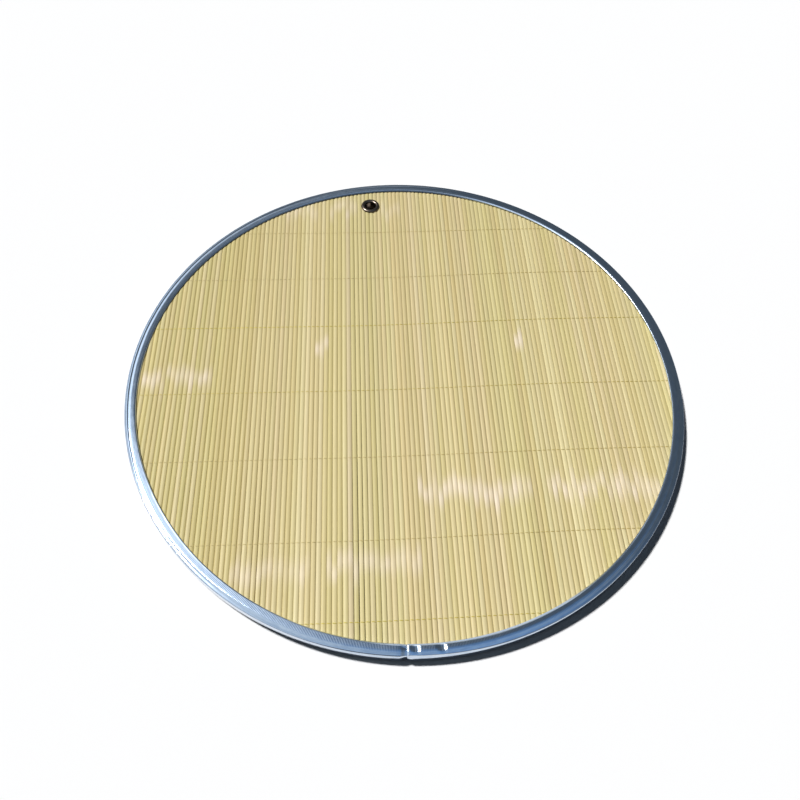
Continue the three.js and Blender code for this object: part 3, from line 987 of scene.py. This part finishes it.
def make_floor():
    """A wide white floor. After a diffuse bounce its tone is lower, so that it throws little light back."""
    mesh = bpy.data.meshes.new("floor")
    half, low = FLOOR_HALF * MM, -FLOOR_DROP * MM
    corners = [(x * half, y * half, low) for x, y in ((-1, -1), (1, -1), (1, 1), (-1, 1))]
    mesh.from_pydata(corners, [], [(0, 1, 2, 3)])
    n = Nodes("floor")
    rays = n.new("ShaderNodeLightPath")
    tone = n.span(rays.outputs["Diffuse Depth"], 0.0, 1.0, FLOOR_TONE, FLOOR_BOUNCE)
    mesh.materials.append(n.set(Base_Color=tone, Roughness=1.0, Specular_IOR_Level=0.0))
    floor = bpy.data.objects.new("floor", mesh)
    bpy.context.scene.collection.objects.link(floor)


def make_light():
    data = bpy.data.lights.new("key", "SUN")
    data.energy = KEY_STRENGTH
    data.angle = math.radians(KEY_ANGLE)
    key = bpy.data.objects.new("key", data)
    key.rotation_mode = "QUATERNION"
    key.rotation_quaternion = Vector(KEY_DIRECTION).to_track_quat("Z", "Y")
    bpy.context.scene.collection.objects.link(key)


def add_glow(tree, place, below, direction, reach, color):
    """Adds a soft round glow to the sky below it in the chain of nodes."""
    link = tree.links.new
    aim = tree.nodes.new("ShaderNodeVectorMath")
    aim.operation = "DOT_PRODUCT"
    aim.inputs[1].default_value = Vector(direction).normalized()
    angle = tree.nodes.new("ShaderNodeMath")
    angle.operation = "ARCCOSINE"
    share = tree.nodes.new("ShaderNodeMapRange")
    share.interpolation_type = "SMOOTHERSTEP"
    share.inputs["From Max"].default_value = math.radians(reach)
    share.inputs["To Min"].default_value = 1.0
    share.inputs["To Max"].default_value = 0.0
    glow = tree.nodes.new("ShaderNodeMix")
    glow.data_type = "RGBA"
    glow.blend_type = "ADD"
    glow.inputs[MIX_B].default_value = (*color, 1.0)
    link(place, aim.inputs[0])
    link(aim.outputs["Value"], angle.inputs[0])
    link(angle.outputs[0], share.inputs["Value"])
    link(share.outputs["Result"], glow.inputs["Factor"])
    link(below, glow.inputs[MIX_A])
    return glow.outputs[MIX_RESULT]


def make_world():
    """A dim blue sky, pale along the horizon, with soft glows. Diffuse surfaces get a share of its light."""
    world = bpy.data.worlds.new("sky")
    world.use_nodes = True
    tree = world.node_tree
    link = tree.links.new
    background = tree.nodes["Background"]
    place = tree.nodes.new("ShaderNodeTexCoord").outputs["Generated"]

    split = tree.nodes.new("ShaderNodeSeparateXYZ")
    heights = tree.nodes.new("ShaderNodeValToRGB")
    for element, (height, color) in zip(heights.color_ramp.elements, SKY):
        element.position = height
        element.color = (*color, 1.0)
    link(place, split.inputs["Vector"])
    link(split.outputs["Z"], heights.inputs["Fac"])
    sky = heights.outputs["Color"]
    for glow in GLOWS:
        sky = add_glow(tree, place, sky, *glow)
    link(sky, background.inputs["Color"])

    rays = tree.nodes.new("ShaderNodeLightPath")
    strength = tree.nodes.new("ShaderNodeMath")
    strength.operation = "MULTIPLY_ADD"
    strength.inputs[1].default_value = DIFFUSE_SHARE - 1.0
    strength.inputs[2].default_value = 1.0
    link(rays.outputs["Is Diffuse Ray"], strength.inputs[0])
    link(strength.outputs[0], background.inputs["Strength"])
    bpy.context.scene.world = world


make_camera()
make_floor()
make_light()
make_world()

upper = Layer("upper", UPPER_AXIS, False, UPPER_JOINTS, seed=11)
lower = Layer("lower", LOWER_AXIS, True, LOWER_JOINTS, seed=23)
make_sticks(upper, bamboo("bamboo_upper", "Y", *UPPER_BAMBOO), "bamboo_upper")
make_sticks(lower, bamboo("bamboo_lower", "X", *LOWER_BAMBOO), "bamboo_lower")
twine = thread_material()
make_threads(upper, UPPER_ROWS, twine)
make_threads(lower, LOWER_ROWS, twine)
make_rim(rim_material())
make_eyelet()

bpy.context.scene.view_settings.view_transform = "Standard"
